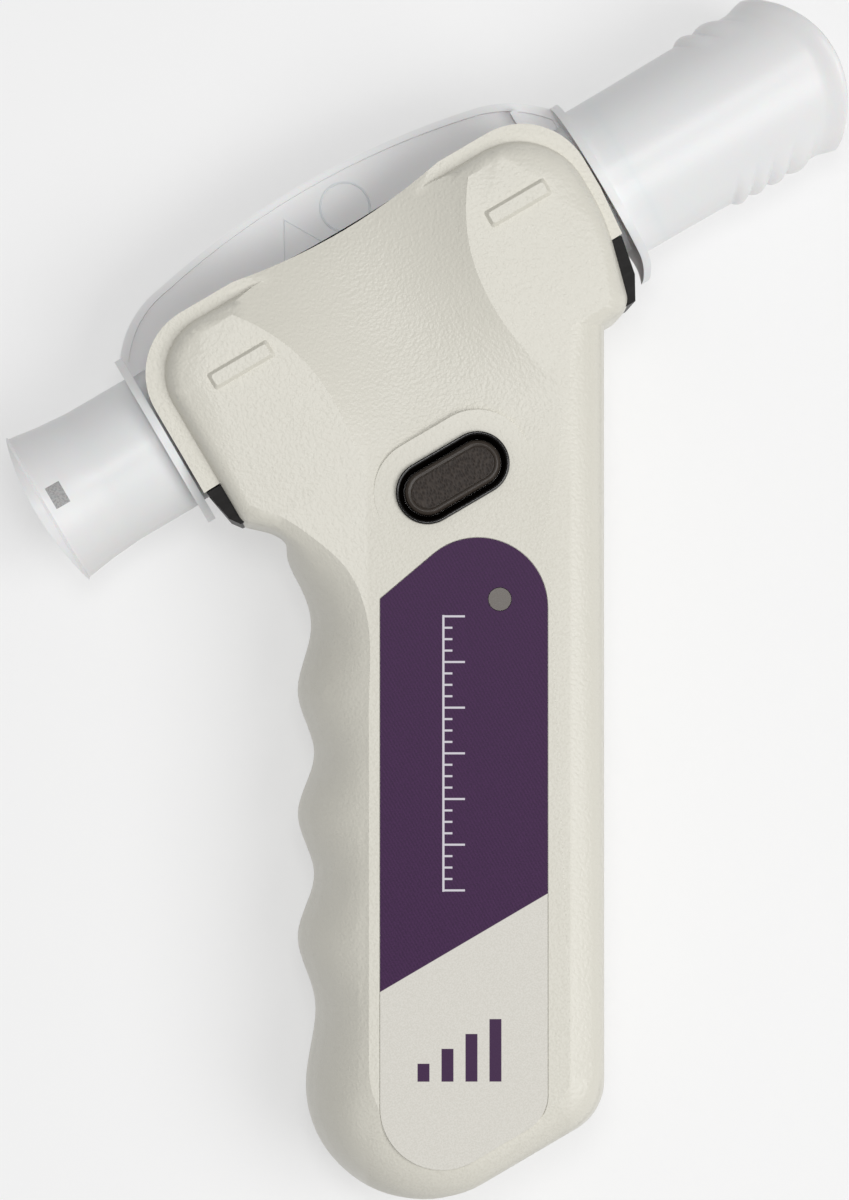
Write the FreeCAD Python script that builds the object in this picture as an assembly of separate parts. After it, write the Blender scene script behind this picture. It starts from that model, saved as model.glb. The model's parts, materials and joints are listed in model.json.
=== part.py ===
import FreeCAD, Part
import math
import os

# Handheld ultrasonic spirometer with a removable breathing tube.
# X runs along the breathing tube towards the mouth, Y is the way the tube lifts out,
# Z points out of the front face. While the pieces are made, the tube's axis is the X axis
# and the two shells meet at Z = 0. All lengths are in millimetres.

Vector = FreeCAD.Vector
along_x = Vector(1, 0, 0)
along_y = Vector(0, 1, 0)
along_z = Vector(0, 0, 1)
centre = Vector(0, 0, 0)

# Housing
half_depth = 21.0
wall = 1.8
lean = math.radians(30.4)
head_left = 41.0
head_right = 41.8
head_top = 15.1
head_bottom = 22.4
head_left_corner = 11.0
head_right_corner = 13.0
head_lower_corner = 3.8
head_bend = -6.0
head_bend_radius = 38.0
head_slope = 0.27
head_edge = 3.0
overrun = 3.0

# How far the shell's edge has turned over where it meets the flat face,
# and the shares of that turn at which an outline is drawn
edge_turn = math.radians(72.0)
turn_shares = (0, 0.2, 0.4, 0.58, 0.74, 0.88, 1.0)
crisp_power = 4

# How much the corners tighten for each millimetre the outline is drawn in
corner_tighten = 0.8
lower_corner_tighten = 0.6
cheek_tighten = 0.3
toe_tighten = 4.0
heel_tighten = 0.5

# Handle, measured in its own frame: across to the right and down from the tube's axis
grip_left = 13.85
grip_right = 38.8
handle_bottom = 142.0
grip_roll = 11.0
right_bevel = 6.4
bottom_bevel = 6.2
heel_radius = 20.0
toe_radius = 10.0
finger_pitch = 21.4
finger_depth = 1.45
first_finger = 68.2
finger_count = 3
last_crest_place = 0.53
last_crest_share = 0.6

# Neck under the head: each place, with its share of the drawn in edge and of the roll
neck_places = [
    (-37.8, -36.3, 0.3, 0.7),
    (-36.9, -28.8, 0.7, 0.3),
]
neck_end_x = -38.6
neck_shift_x = 0.67
neck_shift_y = 0.74
grip_start_pull = 20.0
neck_end_pull = Vector(-5.5, 5.0, 0)
cheek_slope = 0.9
cheek_radius = 2.4

# Saddle between the two lobes: place along Y, half width and depth
saddle_stations = [
    (24.0, 32.0, 8.6),
    (15.1, 26.5, 6.4),
    (4.0, 19.0, 4.4),
    (-8.0, 16.3, 2.8),
    (-18.0, 17.0, 1.6),
    (-26.0, 19.0, 0.8),
    (-33.0, 21.0, 0.1),
    (-40.0, 23.0, -0.6),
]
saddle_headroom = 8.0

# Rim round the mouth of the cradle
rim_level = 17.0
rim_foot = 13.2
rim_left = 44.0
rim_right = 43.4
rim_top = 17.3
rim_dip = 1.9
rim_dip_half = 21.0
rim_left_step = -12.2
rim_right_bend = -1.0
rim_right_draw = 0.8
rim_right_step = -10.0
rim_corner = 12.5

# Cradle for the tube
channel_half = 11.0
channel_depth = 13.5
liner_wall = 1.6
liner_top = 14.9
seat_gap = 0.2
plate_left = 43.6
plate_right = 43.1
plate_neck = 13.0
plate_half = 16.8
left_plate_places = [(-42.5, -18.4), (-41.2, -20.2)]
right_plate_places = [(42.3, -10.4), (40.9, -17.3), (38.6, -21.4)]
plate_root = 36.0

# Breathing tube
tube_wall = 1.2
duct_gap = 0.8
outlet_end = 71.3
outlet_sweep = 59.3
outlet_waist = 13.0
outlet_profile = [(-58.0, 13.0), (-64.0, 13.5), (-68.0, 14.1), (-69.1, 14.2)]
outlet_lip = 14.8
outlet_lip_place = 69.6
outlet_bore = 11.8
outlet_bore_start = 63.0
outlet_flare = 13.2
mouth_end = 91.6
mouth_sweep = 18.4
mouth_drop = -0.6
mouth_radius = 14.45
mouth_straight = 62.0
mouth_flare = 15.5
mouth_bore = 12.9
mouth_bore_flare = 13.9
mouth_lip_width = 2.6
mouth_lip_height = 0.45
left_flange = 44.5
right_flange = 43.9
flange_thickness = 1.5
flange_half_width = 16.0
left_flange_radius = 16.6
right_flange_top = 16.4
right_flange_bottom = -19.0
flange_bend = -14.6
flange_tuck = 1.5
fin_root = 12.1
fin_thickness = 2.0
fin_bead = 3.6
fin_bead_width = 1.1
fin_bead_draw = 0.975
fin_places = [
    (-44.9, 16.4),
    (-39.9, 21.1),
    (-32.4, 23.8),
    (-1.75, 26.95),
    (33.25, 22.9),
    (39.5, 20.0),
    (44.5, 15.5),
]
cross_rib_place = 37.95
cross_rib_thickness = 1.3
cross_rib_top = 19.2
cross_rib_half = 4.0
rib_width = 3.0
rib_height = 0.9
rib_draw = 0.6
lower_ribs = [66.0, 69.6, 73.4, 77.4]
upper_ribs = [71.0, 75.6]
guide_rib_place = 36.0
guide_rib_width = 2.0
guide_gap = 0.15
guide_rib_top = 3.0

# Ultrasonic heads
beam_angle = math.radians(35.0)
transducer_radius = 3.0
transducer_length = 3.0
seal_wall = 0.7
seal_length = 2.2
boss_wall = 1.0
boss_lip = 1.3
boss_headroom = 0.3
port_radius = 3.2
window_length = 13.0
window_height = 9.0
screen_thickness = 0.4
screen_depth = 0.1
screen_ledge = 0.8

# Button
button_x = -5.1
button_y = -32.05
bezel_length = 21.4
bezel_width = 11.2
bezel_lip = 0.7
bezel_rise = 0.9
bezel_depth = 2.6
bezel_inner = 1.4
cap_gap = 0.2
cap_rise = 1.5
cap_bevel = 0.7
cap_flange = 0.5
cap_flange_height = 0.8
press_travel = 0.6
stem_radius = 1.6
pad_margin = 3.8
pad_foot = 18.0
fit_gap = 0.1
running_gap = 0.06

# Label and light
label_left = -1.0
label_right = 28.6
label_left_top = 51.4
label_right_top = 26.4
label_bottom = 137.3
label_radii = (0.5, 12.3, 7.0, 11.0)
label_depth = 0.35
label_gap = 0.12
light_across = 20.1
light_down = 51.5
light_radius = 2.0
light_flange = 1.0
light_flange_height = 1.6

# Board, with each part on it given as across, down, width, length and height
board_left = 5.0
board_right = 26.5
board_top = 23.0
board_bottom = 131.5
board_corner = 1.5
board_level = 8.0
board_thickness = 1.6
processor = (15.5, 72.0, 12.0, 12.0, 1.2)
analog = (14.0, 58.5, 6.0, 5.0, 1.1)
shield = (15.5, 93.0, 15.0, 13.0, 2.6)
quartz = (21.5, 82.0, 5.0, 3.2, 1.0)
connector = (14.5, 43.0, 8.0, 4.0, 3.4)
led = (light_across, light_down, 3.0, 3.0, 1.2)
led_gap = 0.2

# Switch under the button and the bridge that guides the button's stem
switch_side = 6.0
switch_height = 3.5
plunger_radius = 1.7
plunger_rise = 1.05
plunger_depth = 1.5
plunger_room = 0.8
guide_length = 11.0
guide_width = 7.0
guide_opening = 7.6
guide_gap_above = 0.5
guide_gap_below = 0.85

# USB socket
usb_x = -59.0
usb_width = 8.0
usb_height = 3.9
usb_length = 9.0
usb_face = 136.8
usb_wall = 0.4
tongue_width = 5.6
tongue_height = 1.0
tongue_length = 6.8
aperture_width = 11.0
aperture_height = 6.4
aperture_wall = 1.4

# Screws
left_screw = (-29.0, -26.0)
right_screw = (21.5, -25.5)
lower_screw_down = 120.0
lower_screw_across = (0.6, 31.0)
post_radius = 3.0
cup_radius = 3.3
cup_wall = 1.2
cup_floor = 17.0
cup_floor_thickness = 2.0
screw_clearance = 1.6
screw_head_radius = 2.7
screw_head_height = 1.8
screw_shank = 1.2
screw_length = 11.0
thread_gap = 0.05
tip_gap = 0.4
board_screw_spots = [(8.0, 49.0), (23.6, 36.5), (8.0, 112.0), (23.6, 112.0)]
board_post_radius = 2.4
board_screw_head = 1.9
board_screw_head_height = 1.2
board_screw_shank = 0.8
board_screw_length = 6.0

# Grip bars on the lobes
bar_length = 12.2
bar_width = 3.3
bar_rise = 0.8
bar_draw = 0.6
bar_corner = 0.5
bar_sink = 0.5
bar_middle_y = 3.75
bar_left_x = -27.1
bar_right_x = 29.2

cos_lean = math.cos(lean)
sin_lean = math.sin(lean)
beam = Vector(math.cos(beam_angle), 0, math.sin(beam_angle))
seal_radius = transducer_radius + seal_wall
head_face = (channel_half + seal_radius * beam.x + fit_gap) / beam.z
duct_high = channel_depth - duct_gap
duct_wide = channel_half - duct_gap
ceiling = half_depth - wall
boss_top = ceiling - boss_headroom
cap_flange_top = half_depth - bezel_depth - fit_gap
cap_flange_low = cap_flange_top - cap_flange_height
guide_top = cap_flange_low - press_travel - guide_gap_above
guide_roof = board_level + switch_height + plunger_rise + guide_gap_below
board_under = board_level - board_thickness
usb_level = board_under - usb_height / 2
post_foot = cup_floor_thickness - cup_floor
mouth_centre = mouth_end - mouth_sweep
far = 2 * half_depth


def spot(across, down, level=0.0):
    """A point given in the handle's own frame."""
    x = across * cos_lean - down * sin_lean
    y = -across * sin_lean - down * cos_lean
    return Vector(x, y, level)


def down_to(across, y):
    """How far down the handle a line of constant Y crosses a line along the handle."""
    return (-y - across * sin_lean) / cos_lean


def corner_arc(before, corner, after, radius):
    """The arc that rounds a corner: its start, its middle and its end."""
    back = (before - corner).normalize()
    on = (after - corner).normalize()
    half = back.getAngle(on) / 2
    reach = radius / math.tan(half)
    middle = (back + on).normalize() * (radius / math.sin(half) - radius)
    return corner + back * reach, corner + middle, corner + on * reach


def rounded(points, level=0.0):
    """A closed outline from its corners, each given as x, y and the radius that rounds it."""
    corners = [Vector(x, y, level) for x, y, radius in points]
    arcs = []
    for i, (x, y, radius) in enumerate(points):
        here = corners[i]
        after = corners[(i + 1) % len(points)]
        arcs.append(corner_arc(corners[i - 1], here, after, radius) if radius else (here, here, here))
    edges = []
    for i, (start, middle, end) in enumerate(arcs):
        if start != end:
            edges.append(Part.Arc(start, middle, end).toShape())
        edges.append(Part.LineSegment(end, arcs[(i + 1) % len(arcs)][0]).toShape())
    return Part.Wire(edges)


def slab(points, low, high):
    """A flat piece with rounded corners between two levels."""
    return Part.Face(rounded(points, low)).extrude(along_z * (high - low))


def block(x0, x1, y0, y1, z0, z1):
    return Part.makeBox(x1 - x0, y1 - y0, z1 - z0, Vector(x0, y0, z0))


def leaning_block(across, down, wide, long, low, high):
    """A block squared to the handle, given by its middle in the handle's own frame."""
    signs = ((-1, -1), (1, -1), (1, 1), (-1, 1))
    corners = [spot(across + i * wide / 2, down + j * long / 2) for i, j in signs]
    return slab([(corner.x, corner.y, 0) for corner in corners], low, high)


def stadium_outline(length, width, level):
    """An outline with round ends, laid out along X at the button's place."""
    side = width / 2
    reach = length / 2 - side
    right_top = Vector(button_x + reach, button_y + side, level)
    right_end = Vector(button_x + reach + side, button_y, level)
    right_bottom = Vector(button_x + reach, button_y - side, level)
    left_bottom = Vector(button_x - reach, button_y - side, level)
    left_end = Vector(button_x - reach - side, button_y, level)
    left_top = Vector(button_x - reach, button_y + side, level)
    edges = [
        Part.Arc(right_top, right_end, right_bottom).toShape(),
        Part.LineSegment(right_bottom, left_bottom).toShape(),
        Part.Arc(left_bottom, left_end, left_top).toShape(),
        Part.LineSegment(left_top, right_top).toShape(),
    ]
    return Part.Wire(edges)


def stadium(length, width, low, high):
    return Part.Face(stadium_outline(length, width, low)).extrude(along_z * (high - low))


def rod(start, direction, radius, length):
    return Part.makeCylinder(radius, length, start, direction)


def pin(place, radius, low, high):
    """A round bar along Z between two levels."""
    return rod(Vector(place.x, place.y, low), along_z, radius, high - low)


def mirrored(shape):
    """The same shape on the other side of the plane where the shells meet."""
    return shape.mirror(centre, along_z)


def turned(shape):
    """The same shape after half a turn about the Y axis."""
    copy = shape.copy()
    copy.rotate(centre, along_y, 180)
    return copy


def lathe(profile):
    """A solid turned about the tube's axis from a profile of places and radii."""
    points = [Vector(x, radius, 0) for x, radius in profile]
    points = [Vector(points[0].x, 0, 0)] + points + [Vector(points[-1].x, 0, 0)]
    return Part.Face(Part.makePolygon(points + points[:1])).revolve(centre, along_x, 360)


def oval(x, high, wide, y=0.0):
    """A long round outline across the tube's axis: straight sides between two half circles."""
    lift = high - wide
    front_top = Vector(x, y + lift, wide)
    top = Vector(x, y + high, 0)
    back_top = Vector(x, y + lift, -wide)
    back_bottom = Vector(x, y - lift, -wide)
    bottom = Vector(x, y - high, 0)
    front_bottom = Vector(x, y - lift, wide)
    edges = [
        Part.Arc(front_top, top, back_top).toShape(),
        Part.LineSegment(back_top, back_bottom).toShape(),
        Part.Arc(back_bottom, bottom, front_bottom).toShape(),
        Part.LineSegment(front_bottom, front_top).toShape(),
    ]
    return Part.Wire(edges)


def oval_bar(x0, x1, high, wide, y=0.0):
    return Part.Face(oval(x0, high, wide, y)).extrude(along_x * (x1 - x0))


def grip_edge(heel, left, edge, roll, wave, skin, level):
    """The curve up the finger grips and round the neck, from the heel to below the head."""
    places = [heel]
    for i in range(2 * finger_count):
        down = first_finger + finger_pitch * (finger_count - 0.5 - 0.5 * i)
        side = 1 if i % 2 == 0 else -1
        places.append(spot(left + side * wave, down, level))
    last_crest = first_finger - last_crest_place * finger_pitch
    places.append(spot(left + last_crest_share * wave, last_crest, level))
    for x, y, edge_share, roll_share in neck_places:
        places.append(Vector(x + skin + roll_share * roll + edge_share * edge, y, level))
    inset = edge + skin
    neck = Vector(neck_end_x + neck_shift_x * inset, -head_bottom + neck_shift_y * inset, level)
    places.append(neck)
    curve = Part.BSplineCurve()
    up_handle = Vector(sin_lean, cos_lean, 0)
    curve.interpolate(Points=places, InitialTangent=up_handle * grip_start_pull, FinalTangent=neck_end_pull)
    return curve.toShape(), neck


def shell_outline(turn, height, skin):
    """Outline of the whole shell at one level; turn runs from 0 at the joint to the edge's full turn."""
    level = height * math.sin(turn) / math.sin(edge_turn)
    share = (1 - math.cos(turn)) / (1 - math.cos(edge_turn))
    crisp = share**crisp_power
    roll = grip_roll * share
    wave = finger_depth * (1 - share)
    inset = head_edge * crisp + skin
    right = grip_right - right_bevel * crisp - skin
    left = -grip_left + roll + skin
    bottom = -handle_bottom + bottom_bevel * crisp + skin
    under = -head_bottom + inset
    notch = spot(right, down_to(right, under), level)
    toe = spot(right, down_to(right, bottom), level)
    heel = spot(left, down_to(left, bottom), level)
    toe_arc = corner_arc(notch, toe, heel, toe_radius - toe_tighten * crisp - skin)
    heel_arc = corner_arc(toe, heel, spot(left, 0, level), heel_radius - heel_tighten * roll - skin)
    grip, neck = grip_edge(heel_arc[2], left, head_edge * crisp, roll, wave, skin, level)
    side = -head_left + inset
    lower_right = head_right - inset - head_slope * (head_bend - under)
    cheek = Vector(side, neck.y + (neck.x - side) * cheek_slope, level)
    tighten = corner_tighten * inset
    corners = [
        (cheek, cheek_radius - cheek_tighten * inset),
        (Vector(side, head_top - inset, level), head_left_corner - tighten),
        (Vector(head_right - inset, head_top - inset, level), head_right_corner - tighten),
        (Vector(head_right - inset, head_bend, level), head_bend_radius),
        (Vector(lower_right, under, level), head_lower_corner - lower_corner_tighten * inset),
    ]
    edges = [
        Part.LineSegment(notch, toe_arc[0]).toShape(),
        Part.Arc(*toe_arc).toShape(),
        Part.LineSegment(toe_arc[2], heel_arc[0]).toShape(),
        Part.Arc(*heel_arc).toShape(),
        grip,
    ]
    last = neck
    for i, (corner, radius) in enumerate(corners):
        following = corners[i + 1][0] if i + 1 < len(corners) else notch
        arc = corner_arc(last, corner, following, radius)
        edges.append(Part.LineSegment(last, arc[0]).toShape())
        edges.append(Part.Arc(*arc).toShape())
        last = arc[2]
    edges.append(Part.LineSegment(last, notch).toShape())
    return Part.Wire(edges)


def shell_body(skin=0.0):
    """Front half of the housing as a solid, drawn in by skin all round."""
    height = half_depth - skin
    outlines = [shell_outline(edge_turn * share, height, skin) for share in turn_shares]
    return Part.makeLoft(outlines, True, True)


def saddle_tool(skin=0.0):
    """What sinks the saddle between the lobes: a trough that deepens towards the top."""
    clear = half_depth + saddle_headroom
    sections = []
    for y, half, depth in saddle_stations:
        brim = half_depth + max(0.0, -2 * depth) - skin
        reach = half + skin / 2
        left = Vector(-reach, y, brim)
        right = Vector(reach, y, brim)
        trough = Part.Arc(left, Vector(0, y, half_depth - depth - skin), right)
        left_top = Vector(-reach, y, clear)
        right_top = Vector(reach, y, clear)
        edges = [
            trough.toShape(),
            Part.LineSegment(right, right_top).toShape(),
            Part.LineSegment(right_top, left_top).toShape(),
            Part.LineSegment(left_top, left).toShape(),
        ]
        sections.append(Part.Wire(edges))
    return Part.makeLoft(sections, True, False)


def rim():
    """The lower rim round the mouth of the cradle, from step to step."""
    start = Vector(-rim_left, rim_left_step, rim_foot)
    top_left = Vector(-rim_left, rim_top, rim_foot)
    dip_start = Vector(-rim_dip_half, rim_top, rim_foot)
    dip_end = Vector(rim_dip_half, rim_top, rim_foot)
    top_right = Vector(rim_right, rim_top, rim_foot)
    bend = Vector(rim_right, rim_right_bend, rim_foot)
    end = Vector(rim_right - rim_right_draw, rim_right_step, rim_foot)
    left_arc = corner_arc(start, top_left, dip_start, rim_corner)
    right_arc = corner_arc(dip_end, top_right, bend, rim_corner)
    edges = [
        Part.LineSegment(start, left_arc[0]).toShape(),
        Part.Arc(*left_arc).toShape(),
        Part.LineSegment(left_arc[2], dip_start).toShape(),
        Part.Arc(dip_start, Vector(0, rim_top - rim_dip, rim_foot), dip_end).toShape(),
        Part.LineSegment(dip_end, right_arc[0]).toShape(),
        Part.Arc(*right_arc).toShape(),
        Part.LineSegment(right_arc[2], bend).toShape(),
        Part.LineSegment(bend, end).toShape(),
        Part.LineSegment(end, start).toShape(),
    ]
    return Part.Face(Part.Wire(edges)).extrude(along_z * (rim_level - rim_foot))


def channel(grow, x0, x1, top):
    """A U-shaped bar along the tube with a round bottom, filled up to the given height."""
    half = channel_half + grow
    bend = channel_half - channel_depth
    corners = [Vector(x0, bend, half), Vector(x0, top, half), Vector(x0, top, -half), Vector(x0, bend, -half)]
    bowl = Part.Arc(corners[3], Vector(x0, bend - half, 0), corners[0])
    sides = [Part.LineSegment(a, b).toShape() for a, b in zip(corners, corners[1:])]
    return Part.Face(Part.Wire([bowl.toShape()] + sides)).extrude(along_x * (x1 - x0))


def outer_half():
    """Outside of one shell, with its rim and its saddle."""
    return shell_body().fuse(rim()).cut(saddle_tool())


def inner_half():
    """The hollow inside one shell."""
    return shell_body(wall).cut(saddle_tool(wall))


def liner_slot():
    grow = liner_wall + seat_gap
    return channel(grow, -rim_left - overrun, rim_right + overrun, rim_top + overrun)


def screw_places():
    """The screws that join the shells: one at each side of the neck, two low in the handle."""
    lower = [spot(across, lower_screw_down) for across in lower_screw_across]
    return [Vector(*left_screw, 0), Vector(*right_screw, 0)] + lower


def board_screw_places():
    return [spot(across, down) for across, down in board_screw_spots]


def bar(middle_x):
    """A raised grip bar with sloping sides."""
    half = bar_length / 2
    side = bar_width / 2
    signs = ((-1, -1), (1, -1), (1, 1), (-1, 1))
    low = [(middle_x + i * half, bar_middle_y + j * side, bar_corner) for i, j in signs]
    high = [(x - i * bar_draw, y - j * bar_draw, radius) for (x, y, radius), (i, j) in zip(low, signs)]
    foot = slab(low, half_depth - bar_sink, half_depth)
    sections = [rounded(low, half_depth), rounded(high, half_depth + bar_rise)]
    return foot.fuse(Part.makeLoft(sections, True, True))


def label_points():
    across = (label_left, label_right, label_right, label_left)
    down = (
        label_left_top,
        label_right_top,
        down_to(label_right, -label_bottom),
        down_to(label_left, -label_bottom),
    )
    corners = [spot(a, d) for a, d in zip(across, down)]
    return [(corner.x, corner.y, radius) for corner, radius in zip(corners, label_radii)]


def usb_opening(margin, near, deep):
    """A block along the way the plug goes in, wider than the aperture by margin all round."""
    half = aperture_width / 2 + margin
    rise = aperture_height / 2 + margin
    return block(usb_x - half, usb_x + half, -near, -deep, usb_level - rise, usb_level + rise)


def front_shell():
    hollow = inner_half()
    pad_length = bezel_length + 2 * pad_margin
    pad_width = bezel_width + 2 * pad_margin
    pad = stadium(pad_length, pad_width, pad_foot, half_depth)
    shell = outer_half().fuse([pad, bar(bar_left_x), bar(bar_right_x)])
    shell = shell.cut(hollow).cut(liner_slot())
    inner = [usb_opening(aperture_wall, handle_bottom, usb_face + fit_gap)]
    inner += [pin(place, post_radius, 0, far) for place in screw_places()]
    inner += [pin(place, board_post_radius, board_level, far) for place in board_screw_places()]
    feet = [pin(place, post_radius, post_foot, 0) for place in screw_places()]
    shell = shell.fuse([piece.common(hollow) for piece in inner] + feet)
    light = spot(light_across, light_down)
    screw_tip = screw_length - cup_floor + tip_gap
    board_tip = board_under + board_screw_length + tip_gap
    thread = screw_shank + thread_gap
    board_thread = board_screw_shank + thread_gap
    hole_length = bezel_length - 2 * bezel_lip + 2 * fit_gap
    hole_width = bezel_width - 2 * bezel_lip + 2 * fit_gap
    tools = [
        head_room(),
        usb_opening(0, handle_bottom + overrun, usb_face - fit_gap),
        pin(light, light_radius + fit_gap, board_level, far),
        slab(label_points(), half_depth - label_depth, far),
        stadium(hole_length, hole_width, board_level, far),
    ]
    tools += [pin(place, thread, post_foot, screw_tip) for place in screw_places()]
    tools += [pin(place, board_thread, board_level, board_tip) for place in board_screw_places()]
    return shell.cut(tools)


def rear_shell():
    outside = mirrored(outer_half())
    shell = outside.cut(mirrored(inner_half())).cut(liner_slot())
    cups = [pin(place, cup_radius + cup_wall, -half_depth, post_foot) for place in screw_places()]
    shell = shell.fuse([cup.common(outside) for cup in cups])
    tools = [turned(head_room())]
    tools += [pin(place, cup_radius, -far, -cup_floor) for place in screw_places()]
    tools += [pin(place, screw_clearance, -cup_floor, post_foot) for place in screw_places()]
    return shell.cut(tools)


def end_plate(points, step):
    """A black plate over one end of the head, narrower where it runs up between the rims."""
    plan = [(x, y, 0) for x, y in points]
    plate = slab(plan, -plate_half, plate_half)
    edge = max(abs(x) for x, y in points)
    sides = [
        block(-edge, edge, step - seat_gap, liner_top, plate_neck, plate_half),
        block(-edge, edge, step - seat_gap, liner_top, -plate_half, -plate_neck),
    ]
    return plate.cut(sides)


def head_boss():
    """The slanted boss that holds an ultrasonic head against the duct."""
    boss = rod(centre, beam, seal_radius + boss_wall, head_face + transducer_length + boss_lip)
    return boss.common(block(0, far, -far, far, channel_half + liner_wall / 2, boss_top))


def cradle_liner():
    left = [(-plate_left, liner_top), (-plate_left, rim_left_step)] + left_plate_places
    left += [(-plate_root, left_plate_places[-1][1]), (-plate_root, liner_top)]
    right = [(plate_right, liner_top), (plate_right, rim_right_bend)] + right_plate_places
    right += [(plate_root, right_plate_places[-1][1]), (plate_root, liner_top)]
    inside = channel(0, -plate_left - overrun, plate_right + overrun, rim_top + overrun)
    outside = channel(liner_wall, -plate_left - overrun, plate_right + overrun, rim_top + overrun)
    body = shell_body().cut(outside)
    away = [inside, body, mirrored(body)]
    plates = [end_plate(left, rim_left_step).cut(away), end_plate(right, rim_right_step).cut(away)]
    trough = channel(liner_wall, -plate_root, plate_root, liner_top).cut(inside)
    boss = head_boss()
    port = rod(beam * (head_face / 2), beam, port_radius, head_face)
    path = port.fuse(rod(beam * head_face, beam, seal_radius, head_face))
    trough = trough.fuse([boss, turned(boss)]).cut(path).cut(turned(path))
    return trough.fuse(plates)


def head_room():
    """The room that an ultrasonic head and its seal need inside the shell."""
    return rod(beam * head_face, beam, seal_radius + fit_gap, transducer_length)


def transducer():
    return rod(beam * head_face, beam, transducer_radius, transducer_length)


def transducer_seal():
    ring = rod(beam * head_face, beam, seal_radius, seal_length)
    return ring.cut(transducer())


def outlet():
    """The plain end of the tube with its beaded lip."""
    profile = [(-left_flange, outlet_waist)] + outlet_profile
    profile += [(-outlet_lip_place, outlet_lip), (-outlet_end - overrun, outlet_lip)]
    end = rod(Vector(outlet_sweep - outlet_end, 0, -far), along_z, outlet_sweep, 2 * far)
    return lathe(profile).common(end)


def mouth_curve(reach):
    """The rounded cut across the mouthpiece, reaching the given place on the axis."""
    return rod(Vector(reach - mouth_sweep, mouth_drop, -far), along_z, mouth_sweep, 2 * far)


def bite_rib(place, side):
    """A raised rib that follows the mouth's curve and fades out towards the front and back."""
    reach = place + mouth_sweep - math.sqrt(mouth_sweep**2 - mouth_radius**2)
    band = mouth_curve(reach).cut(mouth_curve(reach - rib_width))
    sleeve = oval_bar(right_flange, mouth_end, mouth_flare + rib_height, mouth_radius - rib_draw)
    low, high = (0, far) if side > 0 else (-far, 0)
    return sleeve.common(band).common(block(right_flange, mouth_end, low, high, -far, far))


def mouthpiece():
    profile = [(right_flange, mouth_radius), (mouth_straight, mouth_radius), (mouth_end, mouth_flare)]
    lip = [(right_flange, mouth_flare + mouth_lip_height), (mouth_end, mouth_flare + mouth_lip_height)]
    end = mouth_curve(mouth_end)
    bead = lathe(lip).common(end.cut(mouth_curve(mouth_end - mouth_lip_width)))
    body = lathe(profile)
    body = body.cut(block(mouth_centre, mouth_end, -far, far, -far, far).cut(end))
    ribs = [bite_rib(place, -1) for place in lower_ribs]
    ribs += [bite_rib(place, 1) for place in upper_ribs]
    return body.fuse([bead] + ribs)


def fin_face(drop, draw):
    """The fin's outline, drawn in by drop from the top and by draw towards the middle."""
    places = [Vector(x * draw, y - drop, 0) for x, y in fin_places]
    arcs = [Part.Arc(*places[i : i + 3]).toShape() for i in (0, 2, 4)]
    left = Vector(places[0].x, fin_root, 0)
    right = Vector(places[-1].x, fin_root, 0)
    sides = [
        Part.LineSegment(places[-1], right).toShape(),
        Part.LineSegment(right, left).toShape(),
        Part.LineSegment(left, places[0]).toShape(),
    ]
    return Part.Face(Part.Wire(arcs + sides))


def raised(face, thickness):
    """A face in the middle plane thickened evenly to both sides."""
    solid = face.extrude(along_z * thickness)
    solid.translate(along_z * (-thickness / 2))
    return solid


def fin():
    web = raised(fin_face(0, 1), fin_thickness)
    bead = raised(fin_face(0, 1), fin_bead).cut(raised(fin_face(fin_bead_width, fin_bead_draw), fin_bead))
    half = cross_rib_thickness / 2
    rib = block(
        cross_rib_place - half,
        cross_rib_place + half,
        duct_high - tube_wall / 2,
        cross_rib_top,
        -cross_rib_half,
        cross_rib_half,
    )
    return web.fuse([bead, rib])


def right_flange_plate():
    """The flange at the mouth side, tucked in at its lower end where it passes between the rims."""
    middle = (flange_bend + right_flange_bottom) / 2
    inner = [
        Vector(right_flange, flange_bend, 0),
        Vector(right_flange - flange_tuck / 4, middle, 0),
        Vector(right_flange - flange_tuck, right_flange_bottom, 0),
    ]
    outer = [point + along_x * flange_thickness for point in inner]
    inner_top = Vector(right_flange, right_flange_top, 0)
    outer_top = inner_top + along_x * flange_thickness
    edges = [
        Part.LineSegment(inner_top, inner[0]).toShape(),
        Part.Arc(*inner).toShape(),
        Part.LineSegment(inner[2], outer[2]).toShape(),
        Part.Arc(*outer[::-1]).toShape(),
        Part.LineSegment(outer[0], outer_top).toShape(),
        Part.LineSegment(outer_top, inner_top).toShape(),
    ]
    strip = raised(Part.Face(Part.Wire(edges)), 2 * far)
    high = (right_flange_top - right_flange_bottom) / 2
    middle_y = (right_flange_top + right_flange_bottom) / 2
    outline = oval_bar(right_flange - 2 * flange_tuck, right_flange + 2 * flange_tuck, high, flange_half_width, middle_y)
    return strip.common(outline)


def window_block(grow):
    """The block across the duct's side wall at the window for the beam."""
    middle = duct_wide * beam.x / beam.z
    half = window_length / 2 + grow
    rise = window_height / 2 + grow
    return block(middle - half, middle + half, -rise, rise, 0, channel_half)


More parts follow.
